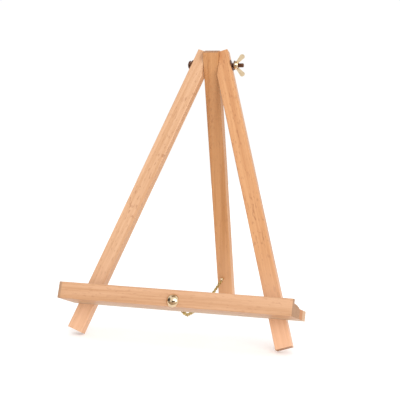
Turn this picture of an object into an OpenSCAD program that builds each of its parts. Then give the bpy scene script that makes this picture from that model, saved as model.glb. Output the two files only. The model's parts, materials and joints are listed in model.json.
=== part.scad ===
// Tabletop tripod easel. Millimetres, +Z up, the front faces -Y, origin on the floor under the middle
// of the easel's bounding box.

/* [Legs] */
// Width of each leg strip
leg_w = 18; // [16:1:20]
// Thickness of each leg strip
leg_t = 11; // [10:1:12]
// Radius of the eased long edges of the wood
wood_edge = 0.8; // [0.4:0.1:1.2]
// Length of a front leg below the bolt, along its outer edge
front_leg_below = 330; // [320:1:340]
// Length of a front leg above the bolt, along its outer edge
front_leg_above = 18.7; // [17:0.1:22]
// Length of the rear leg above the bolt
rear_leg_above = 16; // [12:1:20]
// Sideways slant of each front leg from the middle
splay = 18.4; // [17:0.1:20]
// Lean of the front legs behind the vertical
lean = 22.7; // [20:0.1:24]
// Angle between the front legs and the open rear leg
opening = 34.7; // [32:0.1:36]
// Distance from the middle to a front leg's outer edge at the bolt
top_half_w = 23.3; // [22:0.1:25]
// Gap between the rear leg and the mitred face on each side of it
swing_gap = 0.3; // [0.25:0.05:0.5]

/* [Ledge] */
// Length of the ledge
ledge_len = 262; // [250:1:280]
// Sideways slant of the ledge's sawn ends, front to back
ledge_skew = 7.7; // [0:0.1:9]
// Height of the ledge's underside above the legs' ends, measured along the leaning plane
ledge_rise = 32; // [28:1:40]
// Depth of the front moulding
moulding_d = 17; // [16:1:20]
// Height of the front moulding at its lip
moulding_h = 18.3; // [16:0.1:20]
// Thickness of the lip
lip_t = 4; // [3:0.5:5]
// Height of the shoulder behind the lip
shoulder_h = 13.9; // [13:0.1:14.5]
// Depth of the rear rail, which is the shelf
rail_d = 13; // [12:1:16]
// Height of the rear rail
rail_h = 10.4; // [10:0.1:11]

/* [Top fittings] */
// Radius of the pivot bolt
bolt_r = 2.5; // [2:0.25:3]
// Distance from the middle to the underside of the bolt's head
bolt_head_x = 26.2; // [26:0.1:28]
// Distance from the middle to the bolt's threaded end
bolt_end_x = 37.5; // [36:0.5:42]
// Height of the bolt's domed head
bolt_head_h = 2.8; // [2:0.1:4]
// Radius of the bolt's domed head
bolt_head_r = 5.2; // [5:0.1:6]
// Outer radius of the two washers on the legs' slanted sides
side_washer_r = 6.3; // [6:0.1:6.5]
// Angle of the wing nut's wings from the leaning plane
wing_turn = 24; // [0:1:90]

/* [Chain and its fittings] */
// Sideways distance from the middle to each of the chain's two runs
chain_offset = 2.2; // [2.2:0.1:2.6]
// Radius of the brass dome on the ledge's face
dome_r = 7.2; // [6.5:0.1:7.5]
// Height of the brass dome
dome_h = 4.6; // [3:0.1:5]
// Height of the dome bolt above the ledge's underside
dome_rise = 6.6; // [6:0.1:7]
// Wire diameter of a chain link
link_wire = 1.1; // [1:0.05:1.1]
// Outer width of a chain link
link_w = 4; // [3.9:0.1:4.1]
// Wire diameter of the two eyes
eye_wire = 1.5; // [1.3:0.1:1.5]
// Outer radius of the two eyes
eye_r = 3.5; // [3.5:0.1:3.8]

/* [Hidden] */
$fn = 48;
beech = [0.89, 0.70, 0.51];
pale_beech = [0.92, 0.76, 0.60];
brass = [0.82, 0.68, 0.36];
bronze = [0.27, 0.17, 0.12];

FRONT_RUNS = 4;       // chain stretches that hang from the ledge
REAR_RUNS = 6;        // chain stretches that hang from the rear leg
RUN_LINKS = 4;        // links in one stretch
FIT = 0.05;           // radial clearance of a shank in the wood it is screwed or pushed into
SLIP = 0.08;          // radial clearance of a part that turns or slides on the bolt
EPS = 0.01;           // overlap that makes a cut run clean through a face

// ---- where the pivot is ----

rear_slant = opening - lean;              // the rear leg's slant in front of the vertical, at its top
low_x = sin(splay) * cos(lean);           // how far a step across a front leg's end lowers it
low_y = sin(lean);                        // how far a step to the back lowers it
pivot_z = front_leg_below * cos(splay) * cos(lean) + (leg_w - wood_edge) * low_x
    + (leg_t / 2 - wood_edge) * low_y + wood_edge * norm([low_x, low_y]);
rear_leg_below = (pivot_z - leg_t / 2 * sin(rear_slant)) / cos(rear_slant);

// Heights are measured up the leaning plane from the bolt, depths from the middle of the front legs.
legs_end_u = -front_leg_below * cos(splay) - leg_w * sin(splay);
ledge_u = legs_end_u + ledge_rise;
ledge_back = leg_t / 2;
ledge_front = ledge_back + rail_d + moulding_d;
dome_u = ledge_u + dome_rise;

// A point of the leaning plane, u up and n to the front, as [back, up] from the pivot.
function front_point(u, n) = [u * sin(lean) - n * cos(lean), u * cos(lean) + n * sin(lean)];
// A point of the rear leg, s down and n to the front, as [back, up] from the pivot.
function rear_point(s, n) = [s * sin(rear_slant) - n * cos(rear_slant),
                             -s * cos(rear_slant) - n * sin(rear_slant)];

// The box: from the dome's front to the rear leg's heel, and from the ledge's left end to its right.
box_front = front_point(dome_u, ledge_front + dome_h)[0];
box_back = rear_point(rear_leg_below, -leg_t / 2)[0];
pivot = [-ledge_skew / 2, -(box_front + box_back) / 2, pivot_z];

module in_front_frame() {
    translate(pivot) rotate([-lean, 0, 0]) children();
}

module in_rear_frame() {
    translate(pivot) rotate([rear_slant, 0, 0]) children();
}

// ---- shared shapes ----

function arc(center, r, from, to, steps = 5) =
    [for (i = [0:steps]) center + r * [cos(from + (to - from) * i / steps),
                                       sin(from + (to - from) * i / steps)]];

// A rectangle from the origin with four eased corners.
function eased_rect(w, h, r) = concat(
    arc([w - r, h - r], r, 0, 90), arc([r, h - r], r, 90, 180),
    arc([r, r], r, 180, 270), arc([w - r, r], r, 270, 360));

// A cylinder along +X from x = 0.
module rod_x(r, len) {
    rotate([0, 90, 0]) cylinder(r = r, h = len);
}

// A cylinder towards the back, along +Y from y = 0.
module rod_y(r, len) {
    rotate([-90, 0, 0]) cylinder(r = r, h = len);
}

module washer_x(r_out, r_in, thick) {
    difference() {
        rod_x(r_out, thick);
        translate([-EPS, 0, 0]) rod_x(r_in, thick + 2 * EPS);
    }
}

// A low dome with its flat side at z = 0.
module dome(r, h) {
    sphere_r = (r * r + h * h) / (2 * h);
    intersection() {
        translate([0, 0, h - sphere_r]) sphere(r = sphere_r, $fn = 96);
        cylinder(r = r + 1, h = h + 1);
    }
}

// A ring of round wire with its axis along X.
module ring_x(outer_r, wire) {
    rotate([0, 90, 0]) rotate_extrude() translate([outer_r - wire / 2, 0]) circle(d = wire);
}

// ---- the legs ----

SCREW_R = 1.5;
SCREW_HEAD_R = 3.4;
SCREW_LEN = leg_t + 9;
SLOT_LEN = 3.6;                           // the cross slot in a screw's head
SLOT_W = 0.7;
SLOT_DEPTH = 1;
screw_u = ledge_u + rail_h / 2;
screw_x = top_half_w - screw_u * tan(splay) - leg_w / 2 / cos(splay);

module strip(below, above) {
    translate([0, -leg_t / 2, -below])
        linear_extrude(below + above) polygon(eased_rect(leg_w, leg_t, wood_edge));
}

module screw_hole() {
    translate([-screw_x, leg_t / 2, screw_u]) {
        translate([0, EPS, 0]) rotate([90, 0, 0]) cylinder(r = SCREW_R + FIT, h = leg_t + 2 * EPS);
        translate([0, EPS, 0]) rotate([90, 0, 0])
            cylinder(r1 = SCREW_HEAD_R + FIT, r2 = 0, h = SCREW_HEAD_R + FIT);
    }
}

module left_leg_wood() {
    mitre_x = leg_w / 2 + swing_gap;
    difference() {
        translate([-top_half_w, 0, 0]) rotate([0, splay, 0]) strip(front_leg_below, front_leg_above);
        translate([-mitre_x, -leg_t, -leg_w * 4]) cube([leg_w * 2, leg_t * 2, leg_w * 6]);
        translate([-leg_w * 3, 0, 0]) rod_x(bolt_r + SLIP, leg_w * 3);
        screw_hole();
    }
}

module left_leg() {
    color(beech) in_front_frame() left_leg_wood();
}

module right_leg() {
    color(beech) in_front_frame() mirror([1, 0, 0]) left_leg_wood();
}

module rear_leg() {
    color(beech) in_rear_frame() difference() {
        translate([-leg_w / 2, 0, 0]) strip(rear_leg_below, rear_leg_above);
        translate([-leg_w, 0, 0]) rod_x(bolt_r + SLIP, leg_w * 2);
        translate([-chain_offset, -leg_t / 2 - EPS, -rear_eye_s]) rod_y(EYE_SHANK_R + FIT, EYE_SHANK_LEN);
    }
}

// ---- the ledge ----

// Keeps what lies between the two slanted ends.
module between_ends() {
    slope = ledge_skew / (ledge_front - ledge_back);
    intersection() {
        children();
        translate([0, 0, ledge_u - 1]) linear_extrude(moulding_h + 2) polygon([
            for (c = [[-1, -ledge_front - 1], [1, -ledge_front - 1], [1, -ledge_back + 1], [-1, -ledge_back + 1]])
                [c[0] * ledge_len / 2 + (c[1] + ledge_front) * slope, c[1]]]);
    }
}

// Sweeps an outline along the ledge. In the outline x runs to the back and y up from the underside.
module along_ledge(outline, front) {
    between_ends() translate([-ledge_len, -front, ledge_u])
        rotate([90, 0, 90]) linear_extrude(ledge_len * 2) polygon(outline);
}

// The dome bolt's bore through both parts of the ledge.
module dome_bore() {
    translate([chain_offset, -ledge_front - 1, dome_u]) rod_y(DOME_SHANK_R + FIT, rail_d + moulding_d + 2);
}

module ledge_moulding() {
    drop = shoulder_h - rail_h;
    reach = moulding_d - lip_t;
    shoulder_r = (reach * reach + drop * drop) / (2 * drop);
    color(beech) in_front_frame() difference() {
        along_ledge(concat(
            arc([wood_edge, wood_edge], wood_edge, 270, 180),
            arc([wood_edge, moulding_h - wood_edge], wood_edge, 180, 90),
            arc([lip_t - wood_edge, moulding_h - wood_edge], wood_edge, 90, 0),
            arc([lip_t, shoulder_h - shoulder_r], shoulder_r, 90, asin(1 - drop / shoulder_r), 10),
            [[moulding_d, 0]]), ledge_front);
        dome_bore();
    }
}

module ledge_rail() {
    color(pale_beech) in_front_frame() difference() {
        along_ledge([[0, 0], [0, rail_h], [rail_d, rail_h], [rail_d, 0]], ledge_back + rail_d);
        dome_bore();
        for (side = [-1, 1])
            translate([side * screw_x, leg_t / 2 - SCREW_LEN - FIT, screw_u]) rod_y(SCREW_R + FIT, SCREW_LEN);
    }
}

module ledge_screws() {
    color(brass) in_front_frame() for (side = [-1, 1])
        translate([side * screw_x, leg_t / 2, screw_u]) difference() {
            rotate([90, 0, 0]) union() {
                cylinder(r = SCREW_R, h = SCREW_LEN);
                cylinder(r1 = SCREW_HEAD_R, r2 = 0, h = SCREW_HEAD_R);
            }
            for (turn = [0, 90]) rotate([0, turn, 0])
                translate([-SLOT_LEN / 2, -SLOT_DEPTH, -SLOT_W / 2]) cube([SLOT_LEN, SLOT_DEPTH + EPS, SLOT_W]);
        }
}

// ---- the top bolt, its washers and the wing nut ----

SIDE_WASHER_T = 1;
NUT_WASHER_T = 0.8;
nut_washer_r = 5.4;
nut_washer_x = top_half_w + SIDE_WASHER_T / cos(splay) + side_washer_r * tan(splay) + 0.15;
nut_x = nut_washer_x + NUT_WASHER_T + 0.1;

module pivot_bolt() {
    chamfer = 0.6;
    color(bronze) in_front_frame() {
        translate([-bolt_head_x, 0, 0]) rod_x(bolt_r, bolt_head_x + bolt_end_x - chamfer);
        translate([bolt_end_x - chamfer, 0, 0]) rotate([0, 90, 0])
            cylinder(r1 = bolt_r, r2 = bolt_r - chamfer, h = chamfer);
        translate([-bolt_head_x, 0, 0]) rotate([0, -90, 0]) dome(bolt_head_r, bolt_head_h);
    }
}

// A washer flat on the slanted side of the right leg, for side = 1, or the left leg, for side = -1.
module side_washer(side) {
    hole_r = bolt_r / cos(splay) + SIDE_WASHER_T * tan(splay) + FIT;
    mirror([side < 0 ? 1 : 0, 0, 0]) translate([top_half_w, 0, 0]) rotate([0, -splay, 0])
        difference() {
            rod_x(side_washer_r, SIDE_WASHER_T);
            rotate([0, splay, 0]) translate([-leg_w, 0, 0]) rod_x(hole_r, leg_w * 2);
        }
}

module head_washer() {
    color(bronze) in_front_frame() side_washer(-1);
}

module leg_washer() {
    color(bronze) in_front_frame() side_washer(1);
}

module nut_washer() {
    color(bronze) in_front_frame()
        translate([nut_washer_x, 0, 0]) washer_x(nut_washer_r, bolt_r + SLIP, NUT_WASHER_T);
}

// The outline of one wing: x along the bolt from the nut's base, y away from the bolt.
module wing_outline() {
    root_from = [0.4, 2.8];
    root_to = [3.8, 2.4];
    tip = [8.4, 9.8];
    tip_r = 2.8;
    tip_side = tip_r * [cos(38), -sin(38)];
    union() {
        translate(tip) circle(r = tip_r);
        polygon([root_from, root_to, tip + tip_side, tip - tip_side]);
    }
}

module wing_nut() {
    wing_t = 1.9;
    hub_h = 3.9;
    hub = [[bolt_r + SLIP, 0], [5, 0], [5, 0.8], [4.2, hub_h - 0.4], [3.8, hub_h], [bolt_r + SLIP, hub_h]];
    color(brass) in_front_frame() translate([nut_x, 0, 0]) rotate([wing_turn, 0, 0]) difference() {
        union() {
            rotate([0, 90, 0]) rotate_extrude() polygon(hub);
            for (side = [0, 1]) mirror([0, 0, side]) translate([0, wing_t / 2, 0])
                rotate([90, 0, 0]) linear_extrude(wing_t) wing_outline();
        }
        translate([-EPS, 0, 0]) rod_x(bolt_r + SLIP, hub_h * 2);
    }
}

// ---- the dome bolt, its eye nut and the ring ----

DOME_SHANK_R = 1.9;
DOME_WASHER_T = 0.8;
DOME_WASHER_R = 4.6;
EYE_NUT_T = 3.4;
EYE_NUT_R = 3.4;
BLIND_END = 1;                            // gap left at the end of a blind hole, or metal left behind it
RING_WIRE = 1.2;
RING_R = 3.4;
eye_reach = eye_r - eye_wire / 2;         // from an eye's boss to the eye's centre
eye_nut_n = ledge_back - DOME_WASHER_T - EYE_NUT_T;
eye_center = front_point(dome_u, eye_nut_n - eye_reach);
// How far a wire hooked in an eye hangs off the eye's centre.
function hook_drop(wire) = eye_r - eye_wire - wire / 2 - 0.05;

module dome_bolt() {
    color(brass) in_front_frame() translate([chain_offset, -ledge_front, dome_u]) {
        rotate([90, 0, 0]) dome(dome_r, dome_h);
        rod_y(DOME_SHANK_R, rail_d + moulding_d + DOME_WASHER_T + EYE_NUT_T - BLIND_END - FIT);
    }
}

module dome_bolt_washer() {
    color(brass) in_front_frame() translate([chain_offset, -ledge_back, dome_u]) difference() {
        rod_y(DOME_WASHER_R, DOME_WASHER_T);
        translate([0, -EPS, 0]) rod_y(DOME_SHANK_R + FIT, DOME_WASHER_T + 2 * EPS);
    }
}

module eye_nut() {
    color(brass) in_front_frame() translate([chain_offset, -eye_nut_n, dome_u]) {
        difference() {
            translate([0, -EYE_NUT_T, 0]) rod_y(EYE_NUT_R, EYE_NUT_T);
            translate([0, -EYE_NUT_T - EPS, 0]) rod_y(DOME_SHANK_R + FIT, EYE_NUT_T - BLIND_END + EPS);
        }
        translate([0, eye_reach, 0]) ring_x(eye_r, eye_wire);
    }
}

// The ring hangs from the eye with its top wire at ring_hinge and its bottom wire at ring_end.
ring_hinge = eye_center + [0, -hook_drop(RING_WIRE)];
ring_end = ring_hinge + [0, RING_WIRE - 2 * RING_R];

module chain_ring() {
    color(brass) translate(pivot + [chain_offset, ring_hinge[0], ring_hinge[1] - RING_R + RING_WIRE / 2])
        rotate([0, 0, 90]) ring_x(RING_R, RING_WIRE);
}

// ---- the chain ----
// Each stretch is a straight row of links, alternately upright and flat. Stretch 0 is the one at the ring,
// and the last is the one at the rear leg. A stretch turns about the end wire of a flat link.

RUNS = FRONT_RUNS + REAR_RUNS;
LINK_PLAY = 0.2;                          // gap between two hooked wires when the chain is straight
FIRST_SLOPE = -22;                        // the first stretch drops away from the ring
LOW_SLOPE = -5;                           // the others rise along an even curve
HIGH_SLOPE = 14;
function slope(i) = i == 0 ? FIRST_SLOPE : LOW_SLOPE + (HIGH_SLOPE - LOW_SLOPE) * (i - 1) / (RUNS - 2);
function heading(a) = [cos(a), sin(a)];
function path(i) = i == 0 ? [0, 0] : path(i - 1) + heading(slope(i - 1));

// The stretch length that ends the chain at the rear leg's eye, given where the ring is.
front_normal = [-cos(rear_slant), -sin(rear_slant)];
EYE_BOSS_T = 1.2;
eye_n = leg_t / 2 + EYE_BOSS_T + eye_reach;
last_hook = hook_drop(link_wire) * heading(slope(RUNS - 1));
run_len = (eye_n - front_normal * (ring_end + last_hook)) / (front_normal * path(RUNS));
pitch = run_len / RUN_LINKS;
rear_eye_center = ring_end + run_len * path(RUNS) + last_hook;
rear_eye_s = rear_eye_center * [sin(rear_slant), -cos(rear_slant)];
link_len = round(50 * (pitch + LINK_PLAY + 2 * link_wire)) / 50;   // a round figure, so its quarters meet exactly

EYE_SHANK_R = 1.1;
EYE_SHANK_LEN = 8;

module leg_screw_eye() {
    color(brass) in_rear_frame() translate([-chain_offset, -leg_t / 2, -rear_eye_s]) {
        rod_y(EYE_SHANK_R, EYE_SHANK_LEN - BLIND_END);
        translate([0, -EYE_BOSS_T, 0]) rod_y(2, EYE_BOSS_T);
        translate([0, -EYE_BOSS_T - eye_reach, 0]) ring_x(eye_r, eye_wire);
    }
}

// One oval link along +Y in the YZ plane, its middle at the origin.
module link() {
    bend_r = (link_w - link_wire) / 2;
    straight = link_len - link_w;
    for (end = [0, 1]) mirror([0, end, 0]) translate([0, straight / 2, 0]) rotate([0, -90, 0])
        rotate_extrude(angle = 180, start = 0) translate([bend_r, 0]) circle(d = link_wire, $fn = 16);
    for (side = [-1, 1]) translate([0, -straight / 2, side * bend_r])
        rod_y(link_wire / 2, straight, $fn = 16);
}

// A straight stretch along +Y from its hinge at the origin.
module stretch(flat_first) {
    hook = (link_len - link_wire) / 2;
    start = flat_first ? hook : pitch - hook;
    for (k = [0:RUN_LINKS - 1]) translate([0, start + k * pitch, 0])
        rotate([0, (k % 2 == 0) == flat_first ? 90 : 0, 0]) link();
}

module front_chain(i) {
    at = ring_end + run_len * path(i - 1);
    color(brass) translate(pivot + [chain_offset, at[0], at[1]]) rotate([slope(i - 1), 0, 0]) stretch(false);
}

module rear_chain(i) {
    at = ring_end + run_len * path(RUNS - i + 1);
    color(brass) translate(pivot + [-chain_offset, at[0], at[1]]) rotate([slope(RUNS - i) + 180, 0, 0])
        stretch(true);
}

left_leg();
right_leg();
rear_leg();
ledge_moulding();
ledge_rail();
ledge_screws();
pivot_bolt();
head_washer();
leg_washer();
nut_washer();
wing_nut();
dome_bolt();
dome_bolt_washer();
eye_nut();
chain_ring();
leg_screw_eye();
for (i = [1:FRONT_RUNS]) front_chain(i);
for (i = [1:REAR_RUNS]) rear_chain(i);
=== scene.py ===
"""Looks for the tabletop easel: beech, brass and bronzed fittings, and the floor, light and camera."""

import json
import math
from collections import namedtuple

import bmesh
import bpy
from mathutils import Matrix, Vector


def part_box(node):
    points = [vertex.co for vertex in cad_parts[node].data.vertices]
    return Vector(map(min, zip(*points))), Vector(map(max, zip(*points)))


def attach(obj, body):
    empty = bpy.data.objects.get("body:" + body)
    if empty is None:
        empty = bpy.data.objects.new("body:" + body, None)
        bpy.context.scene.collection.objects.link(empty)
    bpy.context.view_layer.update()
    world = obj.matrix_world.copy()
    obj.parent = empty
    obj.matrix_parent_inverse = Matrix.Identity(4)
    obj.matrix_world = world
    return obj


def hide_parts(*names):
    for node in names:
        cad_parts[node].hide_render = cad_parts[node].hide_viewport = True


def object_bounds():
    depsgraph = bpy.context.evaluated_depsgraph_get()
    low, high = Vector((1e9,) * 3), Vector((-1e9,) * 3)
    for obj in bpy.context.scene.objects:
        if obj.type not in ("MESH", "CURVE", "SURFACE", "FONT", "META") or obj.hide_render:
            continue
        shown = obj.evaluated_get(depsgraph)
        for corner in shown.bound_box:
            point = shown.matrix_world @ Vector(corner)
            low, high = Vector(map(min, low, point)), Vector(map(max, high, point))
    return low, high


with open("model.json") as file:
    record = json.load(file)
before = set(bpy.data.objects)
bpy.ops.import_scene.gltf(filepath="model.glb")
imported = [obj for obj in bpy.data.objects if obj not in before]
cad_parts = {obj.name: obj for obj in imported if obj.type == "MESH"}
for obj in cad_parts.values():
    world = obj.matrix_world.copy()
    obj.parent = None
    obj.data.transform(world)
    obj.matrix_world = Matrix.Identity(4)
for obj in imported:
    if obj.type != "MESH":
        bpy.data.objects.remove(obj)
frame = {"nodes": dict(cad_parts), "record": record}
cad_low, cad_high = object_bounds()

MM = 0.001
MIDDLE = (cad_low + cad_high) / 2
JOINTS = {joint["name"]: joint for joint in frame["record"]["behaviour"]["joints"]}
PIVOT = Vector(JOINTS["rear_leg_fold"]["pos_m"])
FRONT_RUNS = [name for name in sorted(frame["nodes"]) if name.startswith("front_chain_")]
REAR_RUNS = [name for name in sorted(frame["nodes"]) if name.startswith("rear_chain_")]


# ---- small helpers ----


class Nodes:
    """A material's node tree, with short ways to add and join nodes. A place is in metres."""

    def __init__(self, name):
        self.material = bpy.data.materials.new(name)
        self.material.use_nodes = True
        self.tree = self.material.node_tree
        self.shader = self.tree.nodes["Principled BSDF"]

    def add(self, kind, **values):
        """Adds a node, and sets its properties and sockets by name. A socket can take a node's output."""
        node = self.tree.nodes.new(kind)
        for key, value in values.items():
            if hasattr(node, key):
                setattr(node, key, value)
            else:
                self.put(node.inputs[key.replace("_", " ")], value)
        return node

    def put(self, socket, value):
        """Gives a socket a number or colour, or links another node's output to it."""
        if isinstance(value, bpy.types.NodeSocket):
            self.tree.links.new(value, socket)
        else:
            socket.default_value = value

    def math(self, operation, a, b=0.0):
        node = self.tree.nodes.new("ShaderNodeMath")
        node.operation = operation
        self.put(node.inputs[0], a)
        self.put(node.inputs[1], b)
        return node.outputs[0]

    def range(self, value, low, high, out_low=0.0, out_high=1.0):
        """Smoothly maps low..high to out_low..out_high."""
        node = self.tree.nodes.new("ShaderNodeMapRange")
        node.interpolation_type = "SMOOTHSTEP"
        for socket, number in zip(node.inputs[:5], (value, low, high, out_low, out_high)):
            self.put(socket, number)
        return node.outputs[0]

    def mix(self, amount, a, b):
        """A colour that goes from a to b as the amount goes from 0 to 1."""
        factor, colour_a, colour_b, colour_out = 0, 6, 7, 2    # a Mix node's sockets for colours
        node = self.tree.nodes.new("ShaderNodeMix")
        node.data_type = "RGBA"
        self.put(node.inputs[factor], amount)
        self.put(node.inputs[colour_a], a)
        self.put(node.inputs[colour_b], b)
        return node.outputs[colour_out]

    def noise(self, place, scale, detail=2.0, roughness=0.5, distortion=0.0):
        """Noise with its cells counted per metre."""
        node = self.add("ShaderNodeTexNoise", Vector=place, Scale=scale, Detail=detail)
        node.inputs["Roughness"].default_value = roughness
        node.inputs["Distortion"].default_value = distortion
        return node.outputs[0]

    def grain(self, place, along, across, detail, roughness=0.5, distortion=0.0):
        """Noise drawn out along X, with its cells counted per metre along and across the grain."""
        scaled = self.add("ShaderNodeVectorMath", operation="MULTIPLY")
        self.put(scaled.inputs[0], place)
        scaled.inputs[1].default_value = (along, across, across)
        return self.noise(scaled.outputs[0], 1.0, detail, roughness, distortion)

    def along(self, place, axis):
        """How far a place, or how much a normal, lies along an axis."""
        product = self.add("ShaderNodeVectorMath", operation="DOT_PRODUCT")
        self.put(product.inputs[0], place)
        product.inputs[1].default_value = axis
        return product.outputs["Value"]


def srgb(red, green, blue):
    """A shader colour from 0-255 screen values."""
    def linear(value):
        share = value / 255
        return share / 12.92 if share <= 0.04045 else ((share + 0.055) / 1.055) ** 2.4
    return (linear(red), linear(green), linear(blue), 1.0)


def paint(objects, material):
    """Gives each object one material and no other."""
    for piece in objects:
        piece.data.materials.clear()
        piece.data.materials.append(material)
        for polygon in piece.data.polygons:
            polygon.material_index = 0


def soften(piece, width, segments=3):
    """Rounds a piece's sharp edges, and leaves those that turn by less than 35 degrees."""
    weld = piece.modifiers.new("weld", "WELD")
    weld.merge_threshold = 0.002 * MM
    bevel = piece.modifiers.new("eased edges", "BEVEL")
    bevel.width = width
    bevel.segments = segments
    bevel.limit_method = "ANGLE"
    bevel.angle_limit = math.radians(35)
    bevel.harden_normals = True


def new_piece(name, mesh, material, body):
    """A made piece that rides on one of the record's bodies."""
    piece = bpy.data.objects.new(name, mesh)
    bpy.context.collection.objects.link(piece)
    piece.data.materials.clear()
    piece.data.materials.append(material)
    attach(piece, body)
    return piece


# ---- wood ----

# One member's looks: two grain tones, two end-grain tones, how much painted light pales its lower end, how
# strong its flecks are
WoodTone = namedtuple("WoodTone", "light dark ends foot flecks")
BROWN_ENDS = (srgb(161, 114, 78), srgb(131, 86, 55))
PALE_ENDS = (srgb(196, 162, 133), srgb(175, 137, 106))
GREY_ENDS = (srgb(150, 116, 89), srgb(124, 93, 68))
WOOD_TONES = {
    "left_leg": WoodTone(srgb(201, 159, 124), srgb(184, 139, 101), BROWN_ENDS, 0.5, 0.6),
    "right_leg": WoodTone(srgb(196, 145, 100), srgb(178, 123, 79), BROWN_ENDS, 0.75, 0.65),
    "rear_leg": WoodTone(srgb(190, 138, 91), srgb(172, 118, 70), BROWN_ENDS, 0.3, 0.5),
    "ledge_moulding": WoodTone(srgb(196, 152, 117), srgb(177, 131, 93), GREY_ENDS, 0.0, 0.35),
    "ledge_rail": WoodTone(srgb(198, 168, 139), srgb(185, 149, 116), PALE_ENDS, 0.0, 0.35),
}
PORE_BROWN = srgb(150, 96, 60)
FLECK_BROWN = srgb(136, 84, 52)
# Painted shade on the rail's end, standing for the shadow beside its joint with the moulding
JOINT_SHADE_RED = srgb(162, 101, 55)
# Painted light on the lower legs, lifting the shade that the ledge casts on them: the pale tones, and the
# heights over which they fade
PAINTED_FOOT_LIGHT_TONES = (srgb(228, 184, 153), srgb(206, 157, 120))
PAINTED_FOOT_LIGHT_HEIGHTS = (5 * MM, 110 * MM)        # fully pale below the first, not at all above the second
# Painted shade along the ledge's left end, where its eased edge turns away from the light
LEFT_END_SHADE_WIDTHS = (2 * MM, 4 * MM)             # brown as far in as the first, and faded out by the second
GRAIN_SHIFT = Vector((0.31, 0.17, 0.23))  # sets each member's grain apart from the others'
WOOD_EDGE = 0.35 * MM


def grain_turn(piece):
    """The rotation that brings a wooden member's own length to X."""
    mesh = piece.data
    places = [vertex.co for vertex in mesh.vertices]
    length = max(
        (places[edge.vertices[1]] - places[edge.vertices[0]] for edge in mesh.edges),
        key=lambda step: step.length,
    ).normalized()
    across = Vector((0, 1, 0)).cross(length).normalized()
    return Matrix((length, across.cross(length), across))


def painted_joint_shade(wood, where):
    """Painted shade beside the joint: 1 in the rail's front half, which is darkened towards red next to the
    moulding, and 0 in its rear half.
    """
    shelf = next(mount for mount in frame["record"]["mounts"] if mount["name"] == "picture_shelf")
    backwards = Vector(shelf["axis"]).cross(Vector((1, 0, 0)))
    middle = backwards.dot(Vector(shelf["pos_m"]))
    return wood.range(wood.along(where, backwards), middle - MM, middle + MM, 1.0, 0.0)


def painted_left_end_shade(wood, where):
    """Painted shade: a brown band along the ledge's left end."""
    left_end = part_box("ledge_moulding")[0].x
    sideways = wood.add("ShaderNodeSeparateXYZ", Vector=where).outputs[0]
    return wood.range(sideways, left_end + LEFT_END_SHADE_WIDTHS[0], left_end + LEFT_END_SHADE_WIDTHS[1], 0.85, 0.0)


def beech(name, piece, tone, seed):
    """Lacquered beech: long soft streaks, fine pores, short flecks, denser sawn ends, painted light on the
    lower legs, and painted shade on the ledge's left end and beside the rail's joint.
    """
    wood = Nodes("beech_" + name)
    turn = grain_turn(piece)
    coordinates = wood.add("ShaderNodeTexCoord")
    where = coordinates.outputs["Object"]
    mapping = wood.add("ShaderNodeMapping", Vector=where)
    mapping.inputs["Rotation"].default_value = turn.to_euler()
    mapping.inputs["Location"].default_value = seed * GRAIN_SHIFT
    place = mapping.outputs[0]

    streaks = wood.grain(place, along=9, across=420, detail=4, roughness=0.65, distortion=0.2)
    bands = wood.grain(place, along=2.5, across=110, detail=2, distortion=0.2)
    pores = wood.grain(place, along=90, across=2600, detail=3, roughness=0.7)
    specks = wood.grain(place, along=170, across=650, detail=1, roughness=0.4)
    patches = wood.grain(place, along=9, across=40, detail=1)
    rings = wood.grain(place, along=1, across=900, detail=3, roughness=0.6, distortion=0.4)
    flecks = wood.math("MULTIPLY", wood.range(specks, 0.6, 0.7), wood.range(patches, 0.35, 0.65, 0.25, 0.75))
    facing_along = wood.math("ABSOLUTE", wood.along(coordinates.outputs["Normal"], turn[0]))
    end_face = wood.range(facing_along, 0.75, 0.95)

    figure = wood.math("ADD", wood.math("MULTIPLY", streaks, 0.55), wood.math("MULTIPLY", bands, 0.45))
    colour = wood.mix(wood.range(figure, 0.36, 0.64), tone.light, tone.dark)
    colour = wood.mix(wood.math("MULTIPLY", wood.range(pores, 0.5, 0.72), 0.22), colour, PORE_BROWN)
    colour = wood.mix(wood.math("MULTIPLY", flecks, tone.flecks), colour, FLECK_BROWN)
    # Painted light: the lower legs are paled towards the floor, lifting the shade that falls under the ledge.
    height_above_floor = wood.add("ShaderNodeSeparateXYZ", Vector=where).outputs[2]
    foot = wood.range(height_above_floor, *PAINTED_FOOT_LIGHT_HEIGHTS, tone.foot, 0.0)
    colour = wood.mix(foot, colour, wood.mix(streaks, *PAINTED_FOOT_LIGHT_TONES))
    end_colour = wood.mix(wood.range(rings, 0.3, 0.7), *tone.ends)
    # Painted shade on the front half of the rail's end, next to the moulding.
    if name == "ledge_rail":
        end_colour = wood.mix(painted_joint_shade(wood, where), end_colour, JOINT_SHADE_RED)
    # Painted shade along the moulding's left end.
    if name == "ledge_moulding":
        colour = wood.mix(painted_left_end_shade(wood, where), colour, tone.ends[0])
    colour = wood.mix(wood.math("MULTIPLY", end_face, 0.75), colour, end_colour)
    wood.put(wood.shader.inputs["Base Color"], colour)

    face_roughness = wood.range(streaks, 0.3, 0.7, 0.42, 0.52)
    roughness = wood.math("ADD", face_roughness, wood.math("MULTIPLY", end_face, 0.2))
    wood.put(wood.shader.inputs["Roughness"], roughness)
    wood.shader.inputs["Coat Weight"].default_value = 0.12
    wood.shader.inputs["Coat Roughness"].default_value = 0.32
    wood.shader.inputs["Specular IOR Level"].default_value = 0.35

    height = wood.math("SUBTRACT", wood.math("MULTIPLY", streaks, 0.5), wood.math("MULTIPLY", pores, 0.5))
    bump = wood.add("ShaderNodeBump", Strength=0.18, Distance=0.15 * MM, Height=height)
    wood.put(wood.shader.inputs["Normal"], bump.outputs[0])
    return wood.material


def dress_wood():
    for seed, (name, tone) in enumerate(WOOD_TONES.items(), start=1):
        piece = frame["nodes"][name]
        paint([piece], beech(name, piece, tone, seed))
        soften(piece, WOOD_EDGE)


# ---- metals ----


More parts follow.
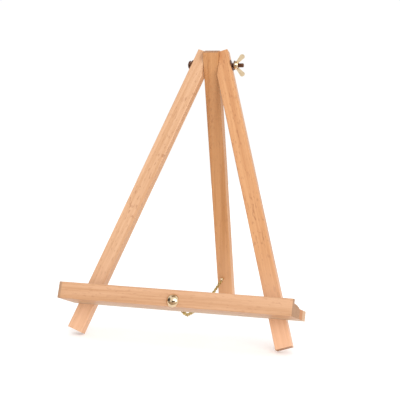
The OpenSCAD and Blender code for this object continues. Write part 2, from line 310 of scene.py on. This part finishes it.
def metal(name, bright, dull, roughness, scratches, tarnish):
    """Plated metal with cloudy tarnish, brighter rubbed edges and fine scratches."""
    plate = Nodes(name)
    place = plate.add("ShaderNodeTexCoord").outputs["Object"]
    cloud = plate.noise(place, 420, 4.0, 0.6)
    fine = plate.noise(place, 2600, 3.0, 0.7)
    wear = plate.add("ShaderNodeNewGeometry").outputs["Pointiness"]
    rubbed = plate.range(wear, 0.5, 0.62)
    colour = plate.mix(plate.math("MULTIPLY", plate.range(cloud, 0.4, 0.7), tarnish), bright, dull)
    colour = plate.mix(plate.math("MULTIPLY", rubbed, 0.5), colour, bright)
    plate.put(plate.shader.inputs["Base Color"], colour)
    plate.shader.inputs["Metallic"].default_value = 1.0
    uneven = plate.range(fine, 0.3, 0.7, roughness * 0.8, roughness * 1.25)
    plate.put(plate.shader.inputs["Roughness"], uneven)
    bump = plate.add("ShaderNodeBump", Strength=scratches, Distance=0.1 * MM, Height=fine)
    plate.put(plate.shader.inputs["Normal"], bump.outputs[0])
    return plate.material


BRASS = metal(
    "polished_brass", srgb(228, 205, 170), srgb(184, 154, 118), roughness=0.14, scratches=0.05, tarnish=0.5
)
CHAIN_BRASS = metal(
    "chain_brass", srgb(204, 178, 112), srgb(128, 102, 54), roughness=0.26, scratches=0.08, tarnish=0.85
)
BRONZE = metal(
    "bronzed_steel", srgb(122, 84, 64), srgb(66, 44, 34), roughness=0.34, scratches=0.12, tarnish=0.8
)
WING_EDGE = 0.55 * MM
WASHER_EDGE = 0.15 * MM


def dress_fittings():
    groups = {
        BRASS: ("wing_nut", "dome_bolt", "dome_bolt_washer", "eye_nut", "leg_screw_eye", "ledge_screws"),
        CHAIN_BRASS: ("chain_ring",),
        BRONZE: ("head_washer", "leg_washer", "nut_washer"),
    }
    for material, names in groups.items():
        paint([frame["nodes"][name] for name in names], material)
    soften(frame["nodes"]["wing_nut"], WING_EDGE, segments=4)
    for name in ("head_washer", "leg_washer", "nut_washer", "dome_bolt_washer"):
        soften(frame["nodes"][name], WASHER_EDGE, segments=2)


def lathe_x(name, points, sides, radius_at, start):
    """A closed surface round the X axis through start.

    Each point is (x, radius), and radius_at(x, turn, radius) gives the real radius at a turn about the axis.
    """
    shape = bmesh.new()
    rings = []
    for x, radius in points:
        ring = []
        for side in range(sides):
            turn = 2 * math.pi * side / sides
            real = radius_at(x, turn, radius)
            offset = Vector((x, real * math.cos(turn), real * math.sin(turn)))
            ring.append(shape.verts.new(start + offset))
        rings.append(ring)
    for ring, following in zip(rings, rings[1:]):
        for side in range(sides):
            other = (side + 1) % sides
            shape.faces.new((ring[side], ring[other], following[other], following[side]))
    shape.faces.new(reversed(rings[0]))
    shape.faces.new(rings[-1])
    bmesh.ops.recalc_face_normals(shape, faces=shape.faces)
    mesh = bpy.data.meshes.new(name)
    shape.to_mesh(mesh)
    shape.free()
    for polygon in mesh.polygons:
        polygon.use_smooth = True
    return mesh


def threaded_bolt():
    """The pivot bolt with its domed head and the real 0.8 mm thread on its free end."""
    low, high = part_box("pivot_bolt")
    shank_r = 2.5 * MM
    head_r = (high.z - low.z) / 2
    dome_h = 2.8 * MM
    thread_pitch = 0.8 * MM
    thread_depth = 0.45 * MM
    thread_before_washer = 2 * MM
    thread_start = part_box("nut_washer")[0].x - low.x - thread_before_washer
    length = high.x - low.x
    chamfer = 0.6 * MM
    head_steps = 10
    steps_a_pitch = 8
    sides = 48
    head_angles = [math.pi / 2 * k / head_steps for k in range(1, head_steps + 1)]
    dome = [(dome_h * (1 - math.cos(angle)), head_r * math.sin(angle)) for angle in head_angles]
    step = thread_pitch / steps_a_pitch
    count = int((length - thread_start) / step)
    stations = [dome_h, thread_start] + [thread_start + step * k for k in range(1, count)] + [length]
    shaft = [(x, shank_r) for x in stations]

    def radius_at(x, turn, radius):
        if x <= thread_start:
            return radius
        phase = (x / thread_pitch - turn / (2 * math.pi)) % 1.0
        groove = thread_depth * (1 - abs(2 * phase - 1))
        end_cut = max(0.0, chamfer - (length - x))
        return min(radius - groove, radius - end_cut)

    start = Vector((low.x, PIVOT.y, PIVOT.z))
    mesh = lathe_x("pivot_bolt_thread", dome + shaft, sides, radius_at, start)
    piece = new_piece("pivot_bolt_threaded", mesh, BRONZE, "easel_front")
    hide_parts("pivot_bolt")


# ---- chain ----


def draw_chain():
    """Each stretch is the CAD one, brought sideways onto the straight line from the ring to the rear eye."""
    body_of = {node: body for body, nodes in frame["record"]["behaviour"]["bodies"].items() for node in nodes}
    ring_x = sum(corner.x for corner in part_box("chain_ring")) / 2
    eye_x = sum(corner.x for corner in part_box("leg_screw_eye")) / 2
    front_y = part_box(FRONT_RUNS[0])[0].y
    back_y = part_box(REAR_RUNS[0])[1].y
    for name in FRONT_RUNS + REAR_RUNS:
        node = frame["nodes"][name]
        run_x = ring_x if name in FRONT_RUNS else eye_x
        mesh = node.data.copy()
        for vertex in mesh.vertices:
            share = (vertex.co.y - front_y) / (back_y - front_y)
            vertex.co.x += ring_x + (eye_x - ring_x) * share - run_x
        piece = new_piece(name + "_links", mesh, CHAIN_BRASS, body_of[name])
        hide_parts(name)


# ---- floor, light and camera ----


FLOOR_SIZE = 2.6
FLOOR_TONES = ((0.92, 0.92, 0.92, 1), (0.94, 0.94, 0.94, 1))
FLOOR_GLOW = 0.1    # a little light of its own keeps the floor white between the feet


def floor():
    """A plain pale floor under the feet."""
    bpy.ops.mesh.primitive_plane_add(size=FLOOR_SIZE, location=(0, 0, 0))
    plane = bpy.context.object
    plane.name = "floor"
    surface = Nodes("pale_floor")
    place = surface.add("ShaderNodeTexCoord").outputs["Object"]
    shade = surface.noise(place, 3.0)
    surface.put(surface.shader.inputs["Base Color"], surface.mix(shade, *FLOOR_TONES))
    surface.shader.inputs["Roughness"].default_value = 0.9
    surface.shader.inputs["Specular IOR Level"].default_value = 0.1
    surface.shader.inputs["Emission Color"].default_value = (1, 1, 1, 1)
    surface.shader.inputs["Emission Strength"].default_value = FLOOR_GLOW
    paint([plane], surface.material)


def card(name, place, aim, size, tone):
    """A card outside the picture, which only polished surfaces see."""
    bpy.ops.mesh.primitive_plane_add(size=size, location=place)
    plane = bpy.context.object
    plane.name = name
    plane.rotation_euler = (aim - place).to_track_quat("Z", "Y").to_euler()
    plane.visible_camera = False
    plane.visible_shadow = False
    plane.visible_diffuse = False
    surface = Nodes(name)
    shade = surface.noise(surface.add("ShaderNodeTexCoord").outputs["Object"], 2.0)
    darker = [channel * 0.8 for channel in tone]
    surface.put(surface.shader.inputs["Base Color"], surface.mix(shade, (*tone, 1), (*darker, 1)))
    paint([plane], surface.material)


def soft_sun(name, towards, strength, spread):
    """A sun with a wide disc: towards points from the object to the light, and spread is the disc's angle."""
    data = bpy.data.lights.new(name, "SUN")
    data.energy = strength
    data.angle = math.radians(spread)
    lamp = bpy.data.objects.new(name, data)
    lamp.rotation_euler = towards.to_track_quat("Z", "Y").to_euler()
    bpy.context.collection.objects.link(lamp)


def white_room():
    """An even white surround, just bright enough to show as pure white."""
    world = bpy.data.worlds.new("white_room")
    world.use_nodes = True
    background = world.node_tree.nodes["Background"]
    background.inputs["Color"].default_value = (1.0, 1.0, 1.0, 1)
    background.inputs["Strength"].default_value = 1.02
    bpy.context.scene.world = world


def cards():
    """What the brass reflects: black behind the camera and at the left, brown below and above."""
    black = (0.05, 0.05, 0.05)
    brown = (0.42, 0.31, 0.22)
    table_place = Vector((0, -0.95, 2 * MM))
    card("card_behind_camera", MIDDLE + Vector((0.5, -1.7, -0.3)), MIDDLE, 1.8, black)
    card("card_left", MIDDLE + Vector((-1.5, -0.7, 0.3)), MIDDLE, 1.6, black)
    card("card_above", MIDDLE + Vector((-0.2, 0.3, 2.0)), MIDDLE, 1.8, brown)
    card("card_table", table_place, table_place + Vector((0, 0, 1)), 1.6, brown)


def camera():
    """The photograph's view: a little right of the front and a little above, with a long lens."""
    azimuth = math.radians(18.6)
    elevation = math.radians(7.7)
    distance = 1.1635
    lens_angle = math.radians(21.6)
    nearest = 0.05
    farthest = 50
    aim = MIDDLE + Vector((0.0023, -0.0235, -0.009))
    back = Vector((
        math.sin(azimuth) * math.cos(elevation),
        -math.cos(azimuth) * math.cos(elevation),
        math.sin(elevation),
    ))
    data = bpy.data.cameras.new("camera")
    data.angle = lens_angle
    data.clip_start = nearest
    data.clip_end = farthest
    eye = bpy.data.objects.new("camera", data)
    eye.location = aim + back * distance
    eye.rotation_euler = (-back).to_track_quat("-Z", "Y").to_euler()
    bpy.context.collection.objects.link(eye)
    bpy.context.scene.camera = eye


dress_wood()
dress_fittings()
threaded_bolt()
draw_chain()
floor()
white_room()
soft_sun("window", Vector((0.62, -0.75, 0.32)), strength=2.3, spread=60)
cards()
camera()
bpy.context.scene.view_settings.view_transform = "Standard"
